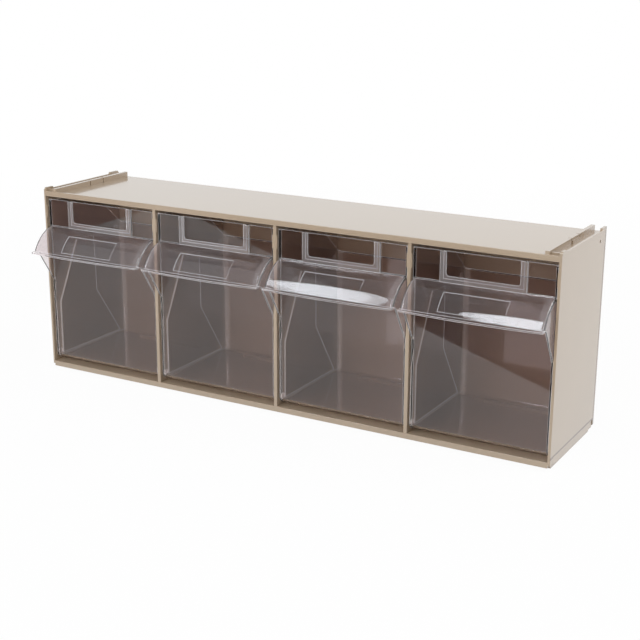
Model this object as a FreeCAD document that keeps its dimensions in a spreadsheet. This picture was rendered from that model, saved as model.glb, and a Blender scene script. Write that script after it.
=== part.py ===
import FreeCAD, Part
import os
import re
import Sketcher

# Tip-out bin unit: a beige case of flat mouldings that holds four clear bins.
# Each bin turns on two moulded pins at its lower front corner.
# Case pieces are drawn from the case's front plane, the bottom panel's underside and mid width.
# Bins are drawn from their own pivot axis.
# Y runs to the back, Z runs up.

BIN_COUNT = 4

# Driving sizes: name, millimetres or degrees, meaning.
SIZES = [
    ("unit_width", 600.0, "overall width"),
    ("case_depth", 130.0, "front plane to rear face"),
    ("top_face", 203.7, "height of the top face"),
    ("top_drop", 2.3, "top surface below the header's upper edge"),
    ("top_skin", 2.3, "thickness of the top panel"),
    ("header_drop", 5.7, "height of the header lip"),
    ("header_skin", 3.0, "thickness of the header lip"),
    ("base_top", 6.0, "height of the bottom panel's upper face"),
    ("base_skin", 2.5, "thickness of the bottom panel and its skirts"),
    ("side_wall", 2.5, "thickness of the side panels"),
    ("divider_wall", 4.0, "thickness of the dividers"),
    ("divider_set", 0.4, "setback of the dividers behind the front plane"),
    ("back_skin", 2.0, "thickness of the back panel"),
    ("return_width", 8.0, "rear return of the side panels"),
    ("return_radius", 3.5, "rounding of the rear corner"),
    ("edge_round", 0.6, "rounding of the case's visible edges"),
    ("seat_depth", 1.0, "depth of the divider grooves"),
    ("seat_gap", 0.1, "clearance of a divider in its groove, each side"),
    ("wall_rise", 1.7, "outer wall above the top face"),
    ("tab_rise", 1.9, "corner tabs above the outer wall"),
    ("tab_front", 12.0, "length of the front tab"),
    ("tab_rear", 15.0, "length of the rear tab"),
    ("tab_end", 1.5, "distance of a tab from the panel's edge"),
    ("leg_front", 9.0, "length of the front leg"),
    ("leg_rear", 7.0, "length of the rear leg"),
    ("leg_foot", 2.8, "height of the legs' undersides"),
    ("sill_height", 8.6, "lower edge of the side panel between its legs"),
    ("sill_gap", 0.4, "shadow gap around the end block"),
    ("block_set", 0.6, "setback of the end block behind the outer face"),
    ("block_foot", 0.8, "underside of the end block"),
    ("rail_drop", 3.8, "rail below the bottom panel"),
    ("rail_set", 2.8, "setback of the rail behind the outer face"),
    ("rail_width", 4.4, "width of the rail"),
    ("rail_nose", 1.5, "rounding of the rail's front end"),
    ("rail_heel", 5.0, "rounding of the rail's rear end"),
    ("channel_width", 9.8, "stacking channel beside the outer wall"),
    ("ridge_width", 4.0, "width of the stacking ridge"),
    ("ridge_rise", 5.6, "height of the stacking ridge"),
    ("ridge_start", 0.8, "ridge behind the front plane"),
    ("ridge_end", 1.5, "ridge ahead of the rear face"),
    ("ridge_slit", 1.2, "slits beside the snap tongue"),
    ("tongue_start", 60.0, "front slit of the snap tongue"),
    ("tongue_length", 23.0, "length of the snap tongue"),
    ("tongue_bead", 0.8, "bead on the snap tongue"),
    ("stop_start", 5.0, "front face of the rail stop in the channel"),
    ("stop_length", 2.0, "length of the rail stop"),
    ("rib_width", 2.0, "ribs under the bottom panel and rest ribs"),
    ("rest_length", 80.0, "length of the rest rib under each bin"),
    ("rest_inset", 11.0, "rest rib ahead of the back panel"),
    ("rest_gap", 0.3, "clearance of a closed bin above its rest rib"),
    ("hole_radius", 1.5, "small hole near the top rear corner"),
    ("hole_inset", 21.0, "hole ahead of the rear face"),
    ("hole_drop", 8.0, "hole below the top face"),
    ("side_gap", 1.2, "bin to divider, each side"),
    ("front_gap", 3.3, "bin front behind the case's front plane"),
    ("floor_gap", 3.5, "bin above the bottom panel"),
    ("header_gap", 3.5, "bin front below the header lip"),
    ("rear_gap", 1.2, "bin ahead of the back panel"),
    ("swing_gap", 0.6, "tipping side walls below the header lip"),
    ("bin_wall", 2.1, "wall of the bin"),
    ("heel_radius", 6.5, "rounding of the lower front edge about the pivot"),
    ("side_drop", 1.5, "side walls below the front wall's top"),
    ("ramp_start", 79.0, "start of the sloping top edge behind the pivot"),
    ("back_height", 136.5, "height of the bin's back wall"),
    ("corner_round", 5.0, "outer rounding of the rear and lower edges"),
    ("inner_round", 2.9, "inner rounding of the rear and lower edges"),
    ("pin_radius", 3.0, "pivot pin"),
    ("pin_entry", 1.4, "pivot pin inside its socket"),
    ("pin_gap", 0.08, "radial clearance of the pivot pin"),
    ("socket_depth", 1.7, "blind sockets of the side panels"),
    ("nub_radius", 2.5, "stop nub on the bin's sides"),
    ("nub_rise", 0.9, "height of the stop nub and stop bead"),
    ("nub_inset", 9.0, "stop nub ahead of the bin's rear face"),
    ("nub_drop", 5.0, "stop nub below the back wall's top"),
    ("bead_start", 0.9, "stop bead behind the front plane"),
    ("bead_width", 2.1, "width of the stop bead"),
    ("bead_length", 14.0, "length of the stop bead"),
    ("hood_top", 149.0, "hood's upper edge above the pivot"),
    ("hood_radius", 45.0, "outer radius of the hood's curve"),
    ("hood_rise_angle", 14.5, "slope of the hood at its upper edge"),
    ("hood_lip_angle", 65.0, "slope of the hood at its lip"),
    ("hood_wall", 2.0, "thickness of the hood and cheeks"),
    ("hood_corner", 3.0, "rounding of the hood's ends"),
    ("lip_reach", 3.7, "finger lip ahead of the hood's curve at its ends"),
    ("lip_bow", 3.0, "how much further the lip reaches in the middle"),
    ("lip_skin", 1.8, "thickness of the lip"),
    ("lip_corner", 1.5, "rounding of the lip's ends, seen in plan"),
    ("cheek_foot", 87.0, "lower end of the cheeks above the pivot"),
    ("cheek_set", 7.0, "cheeks' front edge behind the end of the hood's curve"),
    ("panel_width", 66.0, "plain recess in the middle of the hood"),
    ("panel_depth", 0.35, "depth of that recess"),
    ("panel_start", 34.0, "slope of the hood where the recess starts"),
    ("panel_end", 61.0, "slope of the hood where the recess ends"),
    ("label_width", 86.6, "width of the label holder"),
    ("label_height", 30.0, "height of the label holder"),
    ("label_rim", 6.4, "width of the label holder's rim"),
    ("label_rise", 1.8, "label holder proud of the front wall"),
    ("label_corner", 3.0, "inner rounding of the label holder"),
    ("card_slot", 0.7, "slot for the label card"),
    ("card_overlap", 3.2, "card behind the rim"),
    ("relief_depth", 0.3, "shallow relief on the inside of the side walls"),
    ("relief_start", 3.0, "front line of the relief behind the pivot"),
    ("relief_end", 66.5, "rear line of the relief behind the pivot"),
    ("relief_bend", 58.0, "height of the relief's lower bends"),
    ("relief_lean", 33.5, "how far the relief's front line leans back"),
    ("relief_toe", 10.0, "relief's lower rear corner ahead of the bin's rear face"),
]

# Places worked out from the driving sizes.
BAY = f"((unit_width - 2 * side_wall - {BIN_COUNT - 1} * divider_wall) / {BIN_COUNT})"
PITCH = f"({BAY} + divider_wall)"
HEADER_LOW = "(top_face - header_drop)"
TOP_PLANE = "(top_face - top_drop)"
CEILING = f"({TOP_PLANE} - top_skin)"
BACK_PLANE = "(case_depth - back_skin)"
PIVOT_Y = "(front_gap + heel_radius)"
PIVOT_Z = "(base_top + floor_gap + heel_radius)"
BIN_WIDTH = f"({BAY} - 2 * side_gap)"
BIN_REAR = f"({BACK_PLANE} - rear_gap - {PIVOT_Y})"
BIN_TOP = f"({HEADER_LOW} - header_gap - {PIVOT_Z})"
SIDE_TOP = f"({BIN_TOP} - side_drop)"
SWING = f"({HEADER_LOW} - swing_gap - {PIVOT_Z})"
BACK_TOP = "(back_height - heel_radius)"
NUB_Y = f"({BIN_REAR} - nub_inset)"
NUB_Z = f"({BACK_TOP} - nub_drop)"
NUB_SWING = f"sqrt({NUB_Y} * {NUB_Y} + {NUB_Z} * {NUB_Z})"
BEAD_Z = f"({PIVOT_Z} + {NUB_SWING})"
HOOD_Y = "(hood_radius * sin(hood_rise_angle) - heel_radius)"
HOOD_Z = "(hood_top - hood_radius * cos(hood_rise_angle))"
LIP_Y = f"({HOOD_Y} - hood_radius * sin(hood_lip_angle) - lip_reach)"
LIP_Z = f"({HOOD_Z} + hood_radius * cos(hood_lip_angle))"
LIP_HALF = f"({BIN_WIDTH} / 2)"
REACH = f"(lip_bow - {LIP_Y} - {PIVOT_Y})"
CASE_Y = f"(({REACH} - case_depth) / 2)"
RIDGE_OUT = "(unit_width / 2 - side_wall - channel_width)"
RIDGE_IN = f"({RIDGE_OUT} - ridge_width)"

doc = FreeCAD.newDocument("TipOutBins")
sheet = doc.addObject("Spreadsheet::Sheet", "Sizes")
for row, (name, size, meaning) in enumerate(SIZES, start=1):
    sheet.set(f"A{row}", name)
    sheet.set(f"B{row}", str(size))
    sheet.set(f"C{row}", meaning)
    sheet.setAlias(f"B{row}", name)
doc.recompute()

SIZE_NAME = re.compile(r"\b[a-z]+(?:_[a-z]+)+\b")
NEAR = 1e-4


def bound(text):
    """The expression with each size name pointing at its cell."""
    return SIZE_NAME.sub(r"Sizes.\g<0>", text)


def number(text):
    """The present value of an expression, in millimetres."""
    return float(sheet.evalExpression(text))


def polar_y(radius, angle):
    """Y of a point on a circle about the hood's centre, the angle counted from straight up to the front."""
    return f"{HOOD_Y} - ({radius}) * sin({angle})"


def polar_z(radius, angle):
    """Z of that point."""
    return f"{HOOD_Z} + ({radius}) * cos({angle})"


def new_body(label, place):
    """An empty body whose place follows the sheet."""
    body = doc.addObject("PartDesign::Body", label)
    body.Label = label
    for axis, text in zip("xyz", place):
        body.setExpression(f".Placement.Base.{axis}", bound(text))
    return body


def new_sketch(body, name, role, height="0"):
    """An empty sketch on one of the body's own planes, lifted along the plane's normal."""
    sketch = body.newObject("Sketcher::SketchObject", f"{body.Label}_{name}")
    plane = next(item for item in body.Origin.OriginFeatures if item.Role == role)
    sketch.AttachmentSupport = (plane, "")
    sketch.MapMode = "FlatFace"
    sketch.setExpression(".AttachmentOffset.Base.z", bound(height))
    return sketch


def fix(sketch, kind, *target):
    """A dimension whose value follows the sheet; the last item is the expression."""
    *where, text = target
    index = sketch.addConstraint(Sketcher.Constraint(kind, *where, number(text)))
    sketch.setExpression(f"Constraints[{index}]", bound(text))


def arc_between(start, end, radius):
    """The arc under a half circle from start to end; a positive radius turns to the left."""
    along = end - start
    left = FreeCAD.Vector(-along.y, along.x, 0).normalize()
    reach = (radius * radius - (along.Length / 2) ** 2) ** 0.5
    centre = start + along / 2 + left * reach * (1 if radius > 0 else -1)
    first, last = (start, end) if radius > 0 else (end, start)
    angles = [FreeCAD.Vector(1, 0, 0).getAngle(tip - centre) * (1 if tip.y >= centre.y else -1)
              for tip in (first, last)]
    circle = Part.Circle(centre, FreeCAD.Vector(0, 0, 1), abs(radius))
    return Part.ArcOfCircle(circle, angles[0], angles[1])


def draw_outline(sketch, corners):
    """A closed outline. A corner is (x, y), or (x, y, radius) where the edge that reaches it is an arc."""
    points = [FreeCAD.Vector(number(item[0]), number(item[1]), 0) for item in corners]
    ends = []
    for index, corner in enumerate(corners):
        start, end = points[index - 1], points[index]
        if len(corner) == 3:
            edge = sketch.addGeometry(arc_between(start, end, number(corner[2])))
            turn = number(corner[2]) > 0
            ends.append((edge, 1, 2) if turn else (edge, 2, 1))
            fix(sketch, "Radius", edge, corner[2] if turn else f"-({corner[2]})")
        else:
            edge = sketch.addGeometry(Part.LineSegment(start, end))
            ends.append((edge, 1, 2))
    for index, (edge, _, last) in enumerate(ends):
        following, first, _ = ends[(index + 1) % len(ends)]
        sketch.addConstraint(Sketcher.Constraint("Coincident", edge, last, following, first))
        fix(sketch, "DistanceX", -1, 1, edge, last, corners[index][0])
        fix(sketch, "DistanceY", -1, 1, edge, last, corners[index][1])


def draw_box(sketch, left, right, low, high):
    """A rectangle between four expressions."""
    draw_outline(sketch, [(left, low), (right, low), (right, high), (left, high)])


def draw_circle(sketch, across, up, radius):
    """A circle by its centre and radius."""
    centre = FreeCAD.Vector(number(across), number(up), 0)
    edge = sketch.addGeometry(Part.Circle(centre, FreeCAD.Vector(0, 0, 1), number(radius)))
    fix(sketch, "DistanceX", -1, 1, edge, 3, across)
    fix(sketch, "DistanceY", -1, 1, edge, 3, up)
    fix(sketch, "Radius", edge, radius)


def extrude(kind, body, sketch, name, length, symmetric=False, flip=False):
    """A Pad or Pocket of the sketch, checked to have changed the solid's volume the right way."""
    before = body.Shape.Volume if body.Tip else 0.0
    feature = body.newObject(f"PartDesign::{kind}", f"{body.Label}_{name}")
    feature.Profile = sketch
    feature.SideType = "Symmetric" if symmetric else "One side"
    feature.Reversed = flip
    feature.setExpression("Length", bound(length))
    sketch.Visibility = False
    doc.recompute()
    change = (feature.Shape.Volume - before) * (1 if kind == "Pad" else -1)
    if change <= 0:
        raise RuntimeError(f"{feature.Name} changed the volume by {change:.3f} the wrong way")
    return feature


def edges_at(shape, test):
    """Names of the edges whose ends and middle all pass the test."""
    names = []
    for index, edge in enumerate(shape.Edges, start=1):
        middle = edge.valueAt((edge.FirstParameter + edge.LastParameter) / 2)
        if all(test(point) for point in [middle] + [corner.Point for corner in edge.Vertexes]):
            names.append(f"Edge{index}")
    return names


def round_edges(body, name, radius, test):
    """A fillet on the edges that pass the test, in the body's own coordinates."""
    base = body.Tip
    names = edges_at(base.Shape, test)
    if not names:
        raise RuntimeError(f"{body.Label}_{name} finds no edge")
    feature = body.newObject("PartDesign::Fillet", f"{body.Label}_{name}")
    feature.Base = (base, names)
    feature.setExpression("Radius", bound(radius))
    doc.recompute()
    return feature


def near(measure, text):
    """True where a measure equals an expression's present value."""
    return abs(measure - number(text)) < NEAR


def build_side_panel(label, side):
    """A side panel, drawn from its outer face; side is -1 on the left and 1 on the right."""
    body = new_body(label, (f"{side} * unit_width / 2", CASE_Y, "rail_drop"))
    inward = side > 0
    wall_top = "top_face + wall_rise"
    tab_top = "top_face + wall_rise + tab_rise"

    plate = new_sketch(body, "plate_outline", "YZ_Plane")
    draw_outline(plate, [
        ("0", "leg_foot"), ("leg_front", "leg_foot"), ("leg_front", "sill_height"),
        ("case_depth - leg_rear", "sill_height"), ("case_depth - leg_rear", "leg_foot"),
        ("case_depth", "leg_foot"), ("case_depth", wall_top),
        ("case_depth - tab_end", wall_top),
        ("case_depth - tab_end - tab_rise", tab_top, "tab_rise"),
        ("case_depth - tab_end - tab_rear + tab_rise", tab_top),
        ("case_depth - tab_end - tab_rear", wall_top, "tab_rise"),
        ("tab_end + tab_front", wall_top),
        ("tab_end + tab_front - tab_rise", tab_top, "tab_rise"),
        ("tab_end + tab_rise", tab_top), ("tab_end", wall_top, "tab_rise"),
        ("0", wall_top)])
    extrude("Pad", body, plate, "plate", "side_wall", flip=inward)

    rear = new_sketch(body, "return_outline", "XY_Plane", "sill_height")
    ends = ("0", "return_width") if side < 0 else ("-return_width", "0")
    draw_box(rear, *ends, BACK_PLANE, "case_depth")
    extrude("Pad", body, rear, "return", f"{CEILING} - sill_height")

    round_edges(body, "rear_corner", "return_radius",
                lambda p: abs(p.x) < NEAR and near(p.y, "case_depth"))
    round_edges(body, "front_edge", "edge_round",
                lambda p: abs(p.x) < NEAR and abs(p.y) < NEAR)

    inner_face = f"{-side} * side_wall"
    socket = new_sketch(body, "socket_circle", "YZ_Plane", inner_face)
    draw_circle(socket, PIVOT_Y, PIVOT_Z, "pin_radius + pin_gap")
    extrude("Pocket", body, socket, "socket", "socket_depth", flip=inward)

    bead = new_sketch(body, "bead_outline", "YZ_Plane")
    draw_box(bead, "bead_start", "bead_start + bead_width",
             f"{BEAD_Z} - bead_length / 2", f"{BEAD_Z} + bead_length / 2")
    extrude("Pad", body, bead, "bead", "side_wall + nub_rise", flip=inward)

    hole = new_sketch(body, "hole_circle", "YZ_Plane")
    draw_circle(hole, "case_depth - hole_inset", "top_face - hole_drop", "hole_radius")
    extrude("Pocket", body, hole, "hole", "side_wall", flip=not inward)
    return body


def build_divider(label, index):
    """A partition, drawn from its own middle plane."""
    middle = f"-unit_width / 2 + side_wall + {index} * {PITCH} - divider_wall / 2"
    body = new_body(label, (middle, CASE_Y, "rail_drop"))
    plate = new_sketch(body, "plate_outline", "YZ_Plane")
    draw_outline(plate, [
        ("divider_set", "base_top"), ("base_skin", "base_top"),
        ("base_skin", "base_top - seat_depth"), (BACK_PLANE, "base_top - seat_depth"),
        (BACK_PLANE, f"{CEILING} + seat_depth"), ("header_skin", f"{CEILING} + seat_depth"),
        ("header_skin", HEADER_LOW), ("divider_set", HEADER_LOW)])
    extrude("Pad", body, plate, "plate", "divider_wall", symmetric=True)
    round_edges(body, "front_edges", "edge_round", lambda p: near(p.y, "divider_set")
                and near(abs(p.x), "divider_wall / 2"))

    bead = new_sketch(body, "bead_outline", "YZ_Plane")
    draw_box(bead, "bead_start", "bead_start + bead_width",
             f"{BEAD_Z} - bead_length / 2", f"{BEAD_Z} + bead_length / 2")
    extrude("Pad", body, bead, "beads", "divider_wall + 2 * nub_rise", symmetric=True)

    socket = new_sketch(body, "socket_circle", "YZ_Plane")
    draw_circle(socket, PIVOT_Y, PIVOT_Z, "pin_radius + pin_gap")
    extrude("Pocket", body, socket, "socket", "2 * divider_wall", symmetric=True)
    return body


def draw_seats(sketch):
    """The grooves that take the dividers' edges, seen in plan."""
    for index in range(1, BIN_COUNT):
        middle = f"-unit_width / 2 + side_wall + {index} * {PITCH} - divider_wall / 2"
        half = "(divider_wall / 2 + seat_gap)"
        draw_box(sketch, f"{middle} - {half}", f"{middle} + {half}", "base_skin", BACK_PLANE)


def build_top_panel():
    """The top panel with its header lip and the stacking ridges."""
    body = new_body("top_panel", ("0", CASE_Y, "rail_drop"))
    inner_width = "unit_width - 2 * side_wall"
    plate = new_sketch(body, "plate_outline", "YZ_Plane")
    draw_outline(plate, [
        ("0", HEADER_LOW), ("header_skin", HEADER_LOW), ("header_skin", CEILING),
        ("case_depth", CEILING), ("case_depth", TOP_PLANE), ("header_skin", TOP_PLANE),
        ("header_skin", "top_face"), ("0", "top_face")])
    extrude("Pad", body, plate, "plate", inner_width, symmetric=True)
    round_edges(body, "header_edges", "edge_round", lambda p: abs(p.y) < NEAR
                and (near(p.z, "top_face") or near(p.z, HEADER_LOW)))

    seats = new_sketch(body, "seat_outlines", "XY_Plane", CEILING)
    draw_seats(seats)
    extrude("Pocket", body, seats, "seats", "seat_depth", flip=True)

    ridges = new_sketch(body, "ridge_outlines", "XY_Plane", TOP_PLANE)
    for side in (-1, 1):
        ends = sorted((f"{side} * {RIDGE_IN}", f"{side} * {RIDGE_OUT}"), key=number)
        draw_box(ridges, *ends, "ridge_start", "case_depth - ridge_end")
    extrude("Pad", body, ridges, "ridges", "ridge_rise")

    beads = new_sketch(body, "tongue_outlines", "XY_Plane", TOP_PLANE)
    stops = new_sketch(body, "stop_outlines", "XY_Plane", TOP_PLANE)
    slits = new_sketch(body, "slit_outlines", "XY_Plane", TOP_PLANE)
    for side in (-1, 1):
        bead = sorted((f"{side} * {RIDGE_IN}", f"{side} * ({RIDGE_OUT} + tongue_bead)"), key=number)
        draw_box(beads, *bead, "tongue_start + 2 * ridge_slit",
                 "tongue_start + tongue_length - ridge_slit")
        wall = f"{side} * (unit_width / 2 - side_wall)"
        stop = sorted((f"{side} * {RIDGE_OUT}", wall), key=number)
        draw_box(stops, *stop, "stop_start", "stop_start + stop_length")
        slit = sorted((f"{side} * ({RIDGE_IN} - ridge_slit)", f"{side} * ({RIDGE_OUT} + ridge_slit)"),
                      key=number)
        for start in ("tongue_start", "tongue_start + tongue_length"):
            draw_box(slits, *slit, start, f"{start} + ridge_slit")
    extrude("Pad", body, beads, "tongue_beads", "ridge_rise / 2")
    extrude("Pad", body, stops, "rail_stops", "top_drop + wall_rise")
    extrude("Pocket", body, slits, "slits", "ridge_rise", flip=True)
    return body


def build_bottom_panel():
    """The bottom panel: a skirted plate with a block and rail at each end and the rest ribs."""
    body = new_body("bottom_panel", ("0", CASE_Y, "rail_drop"))
    plate = new_sketch(body, "plate_outline", "YZ_Plane")
    draw_outline(plate, [
        ("0", "0"), ("base_skin", "0"), ("base_skin", "base_top - base_skin"),
        (f"{BACK_PLANE} - base_skin", "base_top - base_skin"), (f"{BACK_PLANE} - base_skin", "0"),
        (BACK_PLANE, "0"), (BACK_PLANE, "base_top"), ("0", "base_top")])
    extrude("Pad", body, plate, "plate", "unit_width - 2 * side_wall", symmetric=True)
    round_edges(body, "front_edges", "edge_round", lambda p: abs(p.y) < NEAR
                and (abs(p.z) < NEAR or near(p.z, "base_top")))

    length = "case_depth - leg_front - leg_rear - 2 * sill_gap"
    blocks = new_sketch(body, "block_outlines", "XZ_Plane", "-(leg_front + sill_gap)")
    for side in (-1, 1):
        inner = f"{side} * (unit_width / 2 - rail_set - rail_width)"
        rail = f"{side} * (unit_width / 2 - rail_set)"
        joint = f"{side} * (unit_width / 2 - side_wall)"
        outer = f"{side} * (unit_width / 2 - block_set)"
        draw_outline(blocks, [
            (inner, "-rail_drop"), (rail, "-rail_drop"), (rail, "block_foot"), (outer, "block_foot"),
            (outer, "sill_height - sill_gap"), (joint, "sill_height - sill_gap"),
            (joint, "base_top"), (inner, "base_top")])
    extrude("Pad", body, blocks, "blocks", length, flip=True)
    round_edges(body, "rail_heels", "rail_heel", lambda p: near(p.z, "-rail_drop")
                and near(p.y, "case_depth - leg_rear - sill_gap"))
    round_edges(body, "rail_noses", "rail_nose", lambda p: near(p.z, "-rail_drop")
                and near(p.y, "leg_front + sill_gap"))

    ribs = new_sketch(body, "rib_outlines", "XY_Plane")
    for index in range(1, BIN_COUNT):
        middle = f"-unit_width / 2 + side_wall + {index} * {PITCH} - divider_wall / 2"
        draw_box(ribs, f"{middle} - rib_width / 2", f"{middle} + rib_width / 2",
                 "base_skin / 2", f"{BACK_PLANE} - base_skin / 2")
    extrude("Pad", body, ribs, "ribs", "base_top - base_skin / 2")

    seats = new_sketch(body, "seat_outlines", "XY_Plane", "base_top")
    draw_seats(seats)
    extrude("Pocket", body, seats, "seats", "seat_depth")

    rests = new_sketch(body, "rest_outlines", "XY_Plane", "base_top")
    for index in range(BIN_COUNT):
        middle = bin_middle(index)
        draw_box(rests, f"{middle} - rest_length / 2", f"{middle} + rest_length / 2",
                 f"{BACK_PLANE} - rest_inset", f"{BACK_PLANE} - rest_inset + rib_width")
    extrude("Pad", body, rests, "rests", "floor_gap - rest_gap")
    return body


def build_back_panel():
    """The back panel between the side panels' returns, the bottom panel and the top panel."""
    body = new_body("back_panel", ("0", CASE_Y, "rail_drop"))
    plate = new_sketch(body, "plate_outline", "XZ_Plane", f"-{BACK_PLANE}")
    half = "(unit_width / 2 - return_width)"
    low_half = "(unit_width / 2 - side_wall)"
    draw_outline(plate, [
        (f"-{low_half}", "0"), (low_half, "0"), (low_half, "sill_height"), (half, "sill_height"),
        (half, CEILING), (f"-{half}", CEILING), (f"-{half}", "sill_height"),
        (f"-{low_half}", "sill_height")])
    extrude("Pad", body, plate, "plate", "back_skin", flip=True)
    return body


def bin_middle(index):
    """X of a bay's middle."""
    return f"(-unit_width / 2 + side_wall + {BAY} / 2 + {index} * {PITCH})"


def build_bin(label, index):
    """A clear bin, drawn from its pivot axis."""
    place = (bin_middle(index), f"{CASE_Y} + {PIVOT_Y}", f"rail_drop + {PIVOT_Z}")
    body = new_body(label, place)
    shell_block(body)
    pins_and_nubs(body)
    hollow_out(body)
    hood(body)
    label_holder(body)
    return body


def shell_block(body):
    """The bin's outer form: straight front, rounded heel, side walls that clear the header as it tips."""
    side = new_sketch(body, "side_outline", "YZ_Plane")
    level_end = f"sqrt({SWING} * {SWING} - {SIDE_TOP} * {SIDE_TOP})"
    ramp_top = f"sqrt({SWING} * {SWING} - ramp_start * ramp_start)"
    draw_outline(side, [
        ("-heel_radius", "0", "-heel_radius"), ("-heel_radius", BIN_TOP),
        ("-heel_radius + bin_wall", BIN_TOP), ("-heel_radius + bin_wall", SIDE_TOP),
        (level_end, SIDE_TOP), ("ramp_start", ramp_top, f"-{SWING}"),
        (BIN_REAR, BACK_TOP), (BIN_REAR, "-heel_radius"), ("0", "-heel_radius")])
    extrude("Pad", body, side, "block", BIN_WIDTH, symmetric=True)
    round_edges(body, "outer_corners", "corner_round", lambda p:
                (near(p.y, BIN_REAR) and p.z < number(BACK_TOP) + NEAR)
                and (near(abs(p.x), f"{BIN_WIDTH} / 2") or near(p.z, "-heel_radius")))


def pins_and_nubs(body):
    """The pivot pins and the stop nubs, made full width before the bin is hollowed."""
    pins = new_sketch(body, "pin_circle", "YZ_Plane")
    draw_circle(pins, "0", "0", "pin_radius")
    extrude("Pad", body, pins, "pins", f"{BIN_WIDTH} + 2 * side_gap + 2 * pin_entry", symmetric=True)
    nubs = new_sketch(body, "nub_circle", "YZ_Plane")
    draw_circle(nubs, NUB_Y, NUB_Z, "nub_radius")
    extrude("Pad", body, nubs, "nubs", f"{BIN_WIDTH} + 2 * nub_rise", symmetric=True)


def hollow_out(body):
    """The inside of the bin and the shallow relief on its side walls."""
    inside = new_sketch(body, "inside_outline", "YZ_Plane")
    above = f"{BIN_TOP} + bin_wall"
    floor = "-heel_radius + bin_wall"
    draw_outline(inside, [
        ("-heel_radius + bin_wall", "0", "-(heel_radius - bin_wall)"),
        ("-heel_radius + bin_wall", above), (f"{BIN_REAR} - bin_wall", above),
        (f"{BIN_REAR} - bin_wall", floor), ("0", floor)])
    extrude("Pocket", body, inside, "inside", f"{BIN_WIDTH} - 2 * bin_wall", symmetric=True)
    round_edges(body, "inner_corners", "inner_round", lambda p:
                near(p.y, f"{BIN_REAR} - bin_wall")
                and (near(abs(p.x), f"{BIN_WIDTH} / 2 - bin_wall") or near(p.z, floor)))

    relief = new_sketch(body, "relief_outline", "YZ_Plane")
    low = "(-heel_radius + 2 * bin_wall)"
    draw_outline(relief, [
        ("relief_start", low), ("relief_start", "relief_bend"),
        ("relief_start + relief_lean", NUB_Z), ("relief_end", NUB_Z),
        ("relief_end", "relief_bend"), (f"{BIN_REAR} - relief_toe", low)])
    extrude("Pocket", body, relief, "relief",
            f"{BIN_WIDTH} - 2 * bin_wall + 2 * relief_depth", symmetric=True)


def hood(body):
    """The curved hood with its cheeks, its finger lip and the plain recess."""
    outline = new_sketch(body, "hood_outline", "YZ_Plane")
    sunk = "-heel_radius + bin_wall / 2"
    tip_y = polar_y("hood_radius", "hood_lip_angle")
    tip_z = polar_z("hood_radius", "hood_lip_angle")
    draw_outline(outline, [
        (sunk, "hood_top"), ("-heel_radius", "hood_top"), (tip_y, tip_z, "hood_radius"),
        (f"{tip_y} + cheek_set", f"{LIP_Z} - lip_skin"), ("-heel_radius", "cheek_foot"),
        (sunk, "cheek_foot")])
    extrude("Pad", body, outline, "hood_block", BIN_WIDTH, symmetric=True)
    round_edges(body, "hood_corners", "hood_corner", lambda p:
                near(abs(p.x), f"{BIN_WIDTH} / 2") and p.y < number("-heel_radius") + NEAR
                and near((p.y - number(HOOD_Y)) ** 2 + (p.z - number(HOOD_Z)) ** 2,
                         "hood_radius * hood_radius"))

    inner = "hood_radius - hood_wall"
    under = new_sketch(body, "under_hood_outline", "YZ_Plane")
    meet_z = f"{HOOD_Z} + sqrt(({inner}) * ({inner}) - ({HOOD_Y} + heel_radius) * ({HOOD_Y} + heel_radius))"
    draw_outline(under, [
        ("-heel_radius", meet_z),
        (polar_y(inner, "hood_lip_angle"), polar_z(inner, "hood_lip_angle"), inner),
        (polar_y(inner, "hood_lip_angle"), "cheek_foot - hood_wall"),
        ("-heel_radius", "cheek_foot - hood_wall")])
    extrude("Pocket", body, under, "under_hood", f"{BIN_WIDTH} - 2 * hood_wall", symmetric=True)

    lip = new_sketch(body, "lip_outline", "XY_Plane", LIP_Z)
    bow = f"(({LIP_HALF} * {LIP_HALF} + lip_bow * lip_bow) / (2 * lip_bow))"
    root = polar_y(inner, "hood_lip_angle")
    draw_outline(lip, [(f"-{LIP_HALF}", LIP_Y), (LIP_HALF, LIP_Y, bow),
                       (LIP_HALF, root), (f"-{LIP_HALF}", root)])
    extrude("Pad", body, lip, "lip", "lip_skin", flip=True)
    round_edges(body, "lip_corners", "lip_corner", lambda p: near(abs(p.x), LIP_HALF)
                and near(p.y, LIP_Y))

    recess = new_sketch(body, "recess_outline", "YZ_Plane")
    floor = "hood_radius - panel_depth"
    clear = "hood_radius + panel_depth"
    draw_outline(recess, [
        (polar_y(floor, "panel_start"), polar_z(floor, "panel_start")),
        (polar_y(floor, "panel_end"), polar_z(floor, "panel_end"), floor),
        (polar_y(clear, "panel_end"), polar_z(clear, "panel_end")),
        (polar_y(clear, "panel_start"), polar_z(clear, "panel_start"), f"-({clear})")])
    extrude("Pocket", body, recess, "recess", "panel_width", symmetric=True)


def label_holder(body):
    """The raised rim that holds a label card, open at the top, with a slot behind it."""
    rim = new_sketch(body, "label_outline", "XZ_Plane", "heel_radius + label_rise")
    half = "label_width / 2"
    window = "(label_width / 2 - label_rim)"
    foot = f"{BIN_TOP} - label_height"
    sill = f"{BIN_TOP} - label_height + label_rim"
    draw_outline(rim, [
        (f"-{half}", foot), (half, foot), (half, BIN_TOP), (window, BIN_TOP),
        (window, f"{sill} + label_corner"), (f"{window} - label_corner", sill, "-label_corner"),
        (f"-{window} + label_corner", sill), (f"-{window}", f"{sill} + label_corner", "-label_corner"),
        (f"-{window}", BIN_TOP), (f"-{half}", BIN_TOP)])
    extrude("Pad", body, rim, "label_rim", "label_rise + bin_wall / 2", flip=True)

    slot = new_sketch(body, "slot_outline", "XY_Plane", BIN_TOP)
    reach = f"{window} + card_overlap"
    draw_box(slot, f"-({reach})", reach, "-heel_radius - card_slot", "-heel_radius")
    extrude("Pocket", body, slot, "card_slot", "label_height - label_rim + card_overlap")


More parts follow.
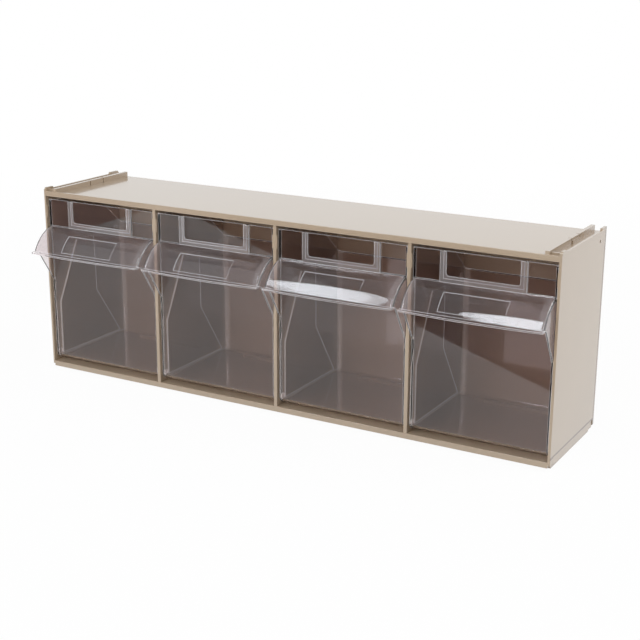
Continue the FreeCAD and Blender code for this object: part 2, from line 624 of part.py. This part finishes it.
pieces = [
    build_top_panel(),
    build_bottom_panel(),
    build_back_panel(),
    build_side_panel("left_side_panel", -1),
    build_side_panel("right_side_panel", 1),
]
pieces += [build_divider(f"divider_{index}", index) for index in range(1, BIN_COUNT)]
pieces += [build_bin(f"bin_{index + 1}", index) for index in range(BIN_COUNT)]
doc.recompute()

for item in doc.Objects:
    if "Invalid" in item.State or "Error" in item.State:
        raise RuntimeError(f"{item.Name} failed: {item.State}")
for piece in pieces:
    if piece.Shape.isNull() or not piece.Shape.isValid() or len(piece.Shape.Solids) != 1:
        raise RuntimeError(f"{piece.Label} is not one valid solid")

os.makedirs("parts", exist_ok=True)
for piece in pieces:
    piece.Shape.exportStep(f"parts/{piece.Label}.step")
    box = piece.Shape.BoundBox
    print(f"{piece.Label}: {box.XMin:.2f} {box.XMax:.2f}  {box.YMin:.2f} {box.YMax:.2f}"
          f"  {box.ZMin:.2f} {box.ZMax:.2f}  {piece.Shape.Volume / 1000:.1f} cm3")
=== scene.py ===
from math import hypot, pi, radians

import bpy
from mathutils import Matrix, Vector

# The camera, in metres in the row's frame: where it stands, where it looks and what is up for it
CAMERA_PLACE = Vector((0.6599, -1.1130, 0.4771))
CAMERA_FORWARD = Vector((-0.4745, 0.8325, -0.2859))
CAMERA_UP = Vector((-0.1454, 0.2462, 0.9583))
LENS = 0.072
SENSOR = 0.036

# The pale edges of clear pieces, painted highlights that glow faintly: how wide, in metres, and how strong
EDGE_WIDTH = 0.0009
EDGE_SHARE = 0.65
EDGE_GLOW = 0.22

# The fine painted shadow lines along the seams of the side panels' outer faces, in metres
SEAM_FACE, SEAM_REAR, SEAM_LOW, SEAM_WIDTH = 0.2998, 0.0760, 0.0132, 0.0018

# The front line of the shallow relief inside the bins' side walls, painted as a pale glowing highlight line, as (y,
# z) places in metres
RELIEF_FOOT = (-0.0357, 0.018)
RELIEF_BEND = (-0.0357, 0.0778)
RELIEF_HEAD = (-0.0022, 0.1448)
LINE_WIDTH = 0.0013
LINE_SHARE = 0.6

# The upright corners at the back of the bins, painted paler as a highlight: the first bin's middle, the bins' pitch,
# and where the corners lie
FIRST_MIDDLE = -0.224625
BIN_PITCH = 0.14975
CORNER_START, CORNER_END = 0.0625, 0.0655
REAR_START, REAR_END = 0.0725, 0.0745
CORNER_SHARE = 0.08

# The painted sheen on the moulded hoods, their end cheeks and the label holders' rims, a pale veil that glows
# faintly: shares, and where they lie in metres
HOOD_PAINTED_SHEEN, CHEEK_PAINTED_SHEEN, RIM_PAINTED_SHEEN = 0.015, 0.06, 0.13
HOOD_FRONT, RIM_FRONT = -0.0475, -0.0461
RIM_FOOT = 0.1684

# The studio, in metres; a strength of one shows as white
FLOOR_DROP = 0.0002
FLOOR_SIZE = 12.0
BACKDROP_HEIGHT = 4.0
PAPER_GLOW = 0.965
SHADOW_START, SHADOW_END = 0.5, 1.5
SURROUND = 0.38
COOL = (0.87, 0.94, 1.0)

# A painted reflection: the bins' fronts mirror the table's paper, which ends in front of the row on a slanting line
# and on the left, and the dark band beside it, which the floor shows only to mirrored rays and rays through clear
# plastic
TABLE_EDGE = -0.396
TABLE_SLANT = 0.64
TABLE_SIDE = -0.745
TABLE_BLUR = 0.008
BAND_WIDTH = 0.46
SIDE_START = -0.35
MIRRORED_FRONT_COLOUR = (0.14, 0.07, 0.05, 1.0)
MIRRORED_SIDE_COLOUR = (0.50, 0.34, 0.32, 1.0)


class Socket:
    """An output of a shader node. Arithmetic on it adds Math nodes, and node() adds any other."""

    def __init__(self, tree, output=None):
        self.tree = tree
        self.output = output

    def node(self, kind, settings=None, inputs=None, output=0):
        """Adds a node: its settings first, then the values or links of its sockets."""
        made = self.tree.nodes.new("ShaderNode" + kind)
        for name, value in (settings or {}).items():
            if name == "stops":
                self.set_stops(made.color_ramp, value)
            else:
                setattr(made, name, value)
        for name, value in (inputs or {}).items():
            if isinstance(value, Socket):
                self.tree.links.new(value.output, made.inputs[name])
            else:
                made.inputs[name].default_value = value
        return Socket(self.tree, made.outputs[output] if made.outputs else None)

    @staticmethod
    def set_stops(ramp, stops):
        while len(ramp.elements) < len(stops):
            ramp.elements.new(1.0)
        for element, (place, colour) in zip(ramp.elements, stops):
            element.position = place
            element.color = colour

    def math(self, operation, first, second):
        return self.node("Math", {"operation": operation}, {0: first, 1: second})

    def __add__(self, other):
        return self.math("ADD", self, other)

    def __sub__(self, other):
        return self.math("SUBTRACT", self, other)

    def __mul__(self, other):
        return self.math("MULTIPLY", self, other)

    def __rsub__(self, other):
        return self.math("SUBTRACT", other, self)

    __radd__ = __add__
    __rmul__ = __mul__


def new_material(name):
    """An empty material, and a socket wrapper to add its nodes with."""
    material = bpy.data.materials.new(name)
    material.use_nodes = True
    material.node_tree.nodes.clear()
    return material, Socket(material.node_tree)


def colour(red, green, blue):
    """A colour as it looks on a screen, 0 to 255, as the linear values that a shader takes."""
    def linear(value):
        share = value / 255
        return share / 12.92 if share <= 0.04045 else ((share + 0.055) / 1.055) ** 2.4
    return (linear(red), linear(green), linear(blue), 1.0)


def ramp(make, value, start, end):
    """Rises smoothly from zero at the start to one at the end."""
    return make.node("MapRange", {"interpolation_type": "SMOOTHSTEP"},
                     {"Value": value, "From Min": start, "From Max": end}, output="Result")


def part_of(make, vector, axis):
    return make.node("SeparateXYZ", None, {"Vector": vector}, output=axis)


def seam_shadow_lines(make, place):
    """One on the thin dark lines along the rear and lower edges of the side panels' outer faces, painted shade
    standing in for the shadow in the gaps there.
    """
    outside = ramp(make, make.math("ABSOLUTE", part_of(make, place, "X"), 0.0), SEAM_FACE - 0.0002, SEAM_FACE)
    rear = make.math("ABSOLUTE", part_of(make, place, "Y") - SEAM_REAR, 0.0)
    low = make.math("ABSOLUTE", part_of(make, place, "Z") - SEAM_LOW, 0.0)
    return outside * ramp(make, make.math("MINIMUM", rear, low), SEAM_WIDTH, SEAM_WIDTH / 2)


def case_plastic():
    """Warm beige moulded polystyrene with a glossy skin, faint clouding, a fine moulded grain and painted shade in
    thin lines along the side panels' seams.
    """
    material, make = new_material("beige_case_plastic")
    place = make.node("TexCoord", output="Object")
    clouds = make.node("TexNoise", None, {"Vector": place, "Scale": 14.0, "Detail": 3.0, "Roughness": 0.5})
    flecks = make.node("TexNoise", None, {"Vector": place, "Scale": 900.0, "Detail": 2.0, "Roughness": 0.5})
    shade = make.node("ValToRGB", {"stops": [(0.30, colour(173, 153, 130)), (0.70, colour(177, 157, 134))]},
                      {"Fac": clouds})
    # Painted shade: darker lines along the side panels' rear and lower seams stand in for the shadow in the gaps
    # there.
    seam_shaded = make.node("Mix", {"data_type": "RGBA"},
                      {0: seam_shadow_lines(make, place), 6: shade, 7: colour(110, 86, 66)}, output=2)
    grain = make.node("Bump", None, {"Strength": 0.01, "Distance": 0.0002, "Height": flecks}, output="Normal")
    finish = make.node("BsdfPrincipled", None, {
        "Base Color": seam_shaded,
        "Roughness": 0.28 + 0.04 * clouds,
        "IOR": 1.5,
        "Coat Weight": 1.0,
        "Coat Roughness": 0.10,
        "Coat IOR": 1.5,
        "Normal": grain,
    })
    make.node("OutputMaterial", None, {"Surface": finish})
    return material


def near_an_edge(make):
    """One on a piece's edges and corners, zero on its flat and gently curved faces."""
    turned = make.node("Bevel", {"samples": 4}, {"Radius": EDGE_WIDTH})
    plain = make.node("NewGeometry", output="Normal")
    same = make.node("VectorMath", {"operation": "DOT_PRODUCT"}, {0: turned, 1: plain}, output="Value")
    return make.node("MapRange", None, {"Value": same, "From Min": 0.985, "From Max": 0.90}, output="Result")


def line_glow(make, across, up, start, end):
    """One on a straight line across the side walls, from start to end as (y, z), and zero beside it."""
    run, rise = end[0] - start[0], end[1] - start[1]
    length = hypot(run, rise)
    along = (across - start[0]) * (run / length) + (up - start[1]) * (rise / length)
    beside = (across - start[0]) * (rise / length) - (up - start[1]) * (run / length)
    off = make.math("ABSOLUTE", beside, 0.0)
    return (ramp(make, off, LINE_WIDTH, LINE_WIDTH / 2) * ramp(make, along, -LINE_WIDTH, 0.0)
            * ramp(make, along, length + LINE_WIDTH, length))


def painted_light_share(make, place):
    """How much of the pale, glowing painted light shows: painted highlights on edges, relief lines and rear corners,
    and a painted sheen on hoods, cheeks and label rims.
    """
    across, up = part_of(make, place, "Y"), part_of(make, place, "Z")
    aside = make.math("PINGPONG", part_of(make, place, "X") - FIRST_MIDDLE, BIN_PITCH / 2)
    at_end = ramp(make, aside, CORNER_START, CORNER_END)
    # Painted highlight lines along the relief's front edge.
    lines = make.math("MAXIMUM", line_glow(make, across, up, RELIEF_FOOT, RELIEF_BEND),
                      line_glow(make, across, up, RELIEF_BEND, RELIEF_HEAD))
    # Painted highlight down the rounded rear corners.
    corner = at_end * ramp(make, across, REAR_START, REAR_END)
    # Painted sheen on the hoods and their end cheeks, and below it on the label rims.
    hood = ramp(make, across, HOOD_FRONT, HOOD_FRONT - 0.001) * (HOOD_PAINTED_SHEEN + (CHEEK_PAINTED_SHEEN - HOOD_PAINTED_SHEEN) * at_end)
    rim = ramp(make, across, RIM_FRONT, RIM_FRONT - 0.0003) * ramp(make, up, RIM_FOOT - 0.0002, RIM_FOOT)
    # Painted highlights on the edges and on the relief lines.
    pale = make.math("MAXIMUM", near_an_edge(make) * EDGE_SHARE, lines * LINE_SHARE)
    for part in (corner * CORNER_SHARE, hood, rim * RIM_PAINTED_SHEEN):
        pale = make.math("MAXIMUM", pale, part)
    return pale


def clear_plastic():
    """Clear polystyrene with a faint cool tint, and paler edges that are painted highlights glowing faintly. Lamps
    shine through it.
    """
    material, make = new_material("clear_bin_plastic")
    place = make.node("TexCoord", output="Object")
    flow = make.node("TexNoise", None, {"Vector": place, "Scale": 12.0, "Detail": 1.0, "Roughness": 0.4})
    ripple = make.node("Bump", None, {"Strength": 0.05, "Distance": 0.001, "Height": flow}, output="Normal")
    glass = make.node("BsdfPrincipled", None, {
        "Base Color": colour(246, 240, 241),
        "Roughness": 0.015,
        "IOR": 1.49,
        "Transmission Weight": 1.0,
        "Normal": ripple,
    })
    # Painted light: a pale, rough finish that glows faintly, standing in for light that the clear plastic catches at
    # its edges and curves.
    pale_glow = make.node("BsdfPrincipled", None, {
        "Base Color": colour(232, 232, 238),
        "Roughness": 0.35,
        "IOR": 1.49,
        "Emission Color": colour(240, 228, 212),
        "Emission Strength": EDGE_GLOW,
    })
    edged = make.node("MixShader", None, {"Fac": painted_light_share(make, place), 1: glass, 2: pale_glow})
    let_through = make.node("BsdfTransparent", None, {"Color": colour(208, 202, 200)})
    rays = make.node("LightPath", output="Is Shadow Ray")
    mixed = make.node("MixShader", None, {"Fac": rays, 1: edged, 2: let_through})
    make.node("OutputMaterial", None, {"Surface": mixed})
    return material


def seen_by_eye(make):
    """One for a ray that shows the background itself: straight, mirrored or through clear plastic."""
    looks = make.node("LightPath", output="Is Camera Ray")
    mirrored = make.node("LightPath", output="Is Glossy Ray")
    through = make.node("LightPath", output="Is Transmission Ray")
    either = make.math("MAXIMUM", looks, mirrored)
    return make.math("MAXIMUM", either, through)


def mirrored_floor(make, place):
    """White paper, and past its edges the darker floor that only mirrored rays and rays inside clear plastic meet, a
    painted reflection.
    """
    along, across = part_of(make, place, "X"), part_of(make, place, "Y")
    ahead = TABLE_EDGE + TABLE_SLANT * along - across
    aside = make.math("MINIMUM", TABLE_SIDE - along, SIDE_START - across)
    beyond = make.math("MAXIMUM", ahead, aside)
    band = ramp(make, beyond, 0.0, TABLE_BLUR) * ramp(make, beyond, BAND_WIDTH + TABLE_BLUR, BAND_WIDTH)
    inside = make.math("MAXIMUM", make.node("LightPath", output="Is Glossy Ray"),
                       make.node("LightPath", output="Is Transmission Ray"))
    # Painted reflection: colours that only mirrored rays and rays through clear plastic see.
    dark = make.node("Mix", {"data_type": "RGBA"},
                     {0: ramp(make, aside, -TABLE_BLUR, 0.0), 6: MIRRORED_FRONT_COLOUR, 7: MIRRORED_SIDE_COLOUR}, output=2)
    return make.node("Mix", {"data_type": "RGBA"}, {0: band * inside, 6: (1.0, 1.0, 1.0, 1.0), 7: dark}, output=2)


def floor_paper():
    """White paper that takes the object's shadow around it and is plain white further away."""
    material, make = new_material("floor_paper")
    place = make.node("TexCoord", output="Object")
    away = make.node("VectorMath", {"operation": "LENGTH"}, {0: place}, output="Value")
    share = PAPER_GLOW + (1 - PAPER_GLOW) * ramp(make, away, SHADOW_START, SHADOW_END)
    paper = make.node("BsdfDiffuse", None, {"Color": (0.82, 0.82, 0.82, 1.0)})
    glow = make.node("Emission", None, {"Color": mirrored_floor(make, place), "Strength": 1.0})
    mixed = make.node("MixShader", None, {"Fac": seen_by_eye(make) * share, 1: paper, 2: glow})
    make.node("OutputMaterial", None, {"Surface": mixed})
    return material


def backdrop_paper():
    """White paper behind the row."""
    material, make = new_material("backdrop_paper")
    paper = make.node("BsdfDiffuse", None, {"Color": (0.82, 0.82, 0.82, 1.0)})
    glow = make.node("Emission", None, {"Color": (1.0, 1.0, 1.0, 1.0), "Strength": 1.0})
    mixed = make.node("MixShader", None, {"Fac": seen_by_eye(make), 1: paper, 2: glow})
    make.node("OutputMaterial", None, {"Surface": mixed})
    return material


def put_paper():
    """A floor and an upright backdrop of white paper, both square to the row."""
    bpy.ops.mesh.primitive_plane_add(size=FLOOR_SIZE, location=(0, 0, -FLOOR_DROP))
    floor = bpy.context.object
    floor.name = "floor"
    floor.data.materials.append(floor_paper())
    bpy.ops.mesh.primitive_plane_add(size=1, location=(0, FLOOR_SIZE / 2, BACKDROP_HEIGHT / 2 - FLOOR_DROP),
                                     rotation=(pi / 2, 0, 0))
    backdrop = bpy.context.object
    backdrop.name = "backdrop"
    backdrop.scale = (FLOOR_SIZE, BACKDROP_HEIGHT, 1)
    backdrop.data.materials.append(backdrop_paper())


def put_world():
    world = bpy.data.worlds.new("studio_surround")
    bpy.context.scene.world = world
    world.use_nodes = True
    world.node_tree.nodes.clear()
    make = Socket(world.node_tree)
    looks = make.node("LightPath", output="Is Camera Ray")
    strength = SURROUND + (1 - SURROUND) * looks
    sky = make.node("Background", None, {"Color": (1.0, 1.0, 1.0, 1.0), "Strength": strength})
    make.node("OutputWorld", None, {"Surface": sky})


def put_lamp(name, shape, place, target, width, height, power, tint=(1.0, 1.0, 1.0), roll=0.0):
    """A soft lamp at a place that faces the target, turned by roll degrees about that line."""
    lamp = bpy.data.lights.new(name, "AREA")
    lamp.shape = shape
    lamp.size = width
    lamp.size_y = height
    lamp.energy = power
    lamp.color = tint
    thing = bpy.data.objects.new(name, lamp)
    bpy.context.scene.collection.objects.link(thing)
    away = Vector(place) - Vector(target)
    facing = away.to_track_quat("Z", "Y").to_matrix().to_4x4()
    thing.matrix_world = Matrix.Translation(place) @ facing @ Matrix.Rotation(radians(roll), 4, "Z")


def put_camera():
    camera = bpy.data.cameras.new("camera")
    camera.lens = LENS * 1000
    camera.sensor_width = SENSOR * 1000
    camera.sensor_fit = "HORIZONTAL"
    camera.clip_start = 0.05
    camera.clip_end = 100
    thing = bpy.data.objects.new("camera", camera)
    bpy.context.scene.collection.objects.link(thing)
    back = -CAMERA_FORWARD.normalized()
    right = CAMERA_UP.cross(back).normalized()
    up = back.cross(right)
    turn = Matrix((right, up, back)).transposed().to_4x4()
    thing.matrix_world = Matrix.Translation(CAMERA_PLACE) @ turn
    bpy.context.scene.camera = thing


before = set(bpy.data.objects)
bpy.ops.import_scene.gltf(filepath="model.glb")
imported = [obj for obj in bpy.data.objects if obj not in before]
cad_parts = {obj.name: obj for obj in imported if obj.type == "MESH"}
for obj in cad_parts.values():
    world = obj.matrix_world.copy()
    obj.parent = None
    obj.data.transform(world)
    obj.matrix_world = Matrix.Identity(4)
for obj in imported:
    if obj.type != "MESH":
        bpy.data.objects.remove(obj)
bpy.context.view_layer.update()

bpy.ops.object.select_all(action="DESELECT")
finishes = {"case_plastic": case_plastic(), "bin_plastic": clear_plastic()}
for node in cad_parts.values():
    for holder in node.material_slots:
        holder.material = finishes[holder.material.name]

put_paper()
put_world()
put_lamp("key_lamp", "RECTANGLE", (1.4, 0.4, 1.5), (0.1, 0, 0.12), 1.2, 1.2, 18)
put_lamp("front_lamp", "RECTANGLE", (0.15, -1.7, 0.9), (0, 0, 0.1), 0.8, 0.8, 11)
put_lamp("tall_lamp", "ELLIPSE", (-0.915, -1.2, 1.58), (-0.915, 0, 1.58), 0.34, 1.70, 7.5, COOL, 23)
put_lamp("tall_core", "ELLIPSE", (-0.905, -1.19, 1.56), (-0.905, 0, 1.56), 0.25, 1.50, 2.8, COOL, 23)
put_lamp("small_lamp", "ELLIPSE", (-0.33, -1.2, 1.37), (-0.33, 0, 1.37), 0.26, 0.95, 4, COOL, 13.5)
put_lamp("small_core", "ELLIPSE", (-0.32, -1.19, 1.33), (-0.32, 0, 1.33), 0.19, 0.78, 1.1, COOL, 13.5)
put_camera()
bpy.context.scene.view_settings.view_transform = "Standard"
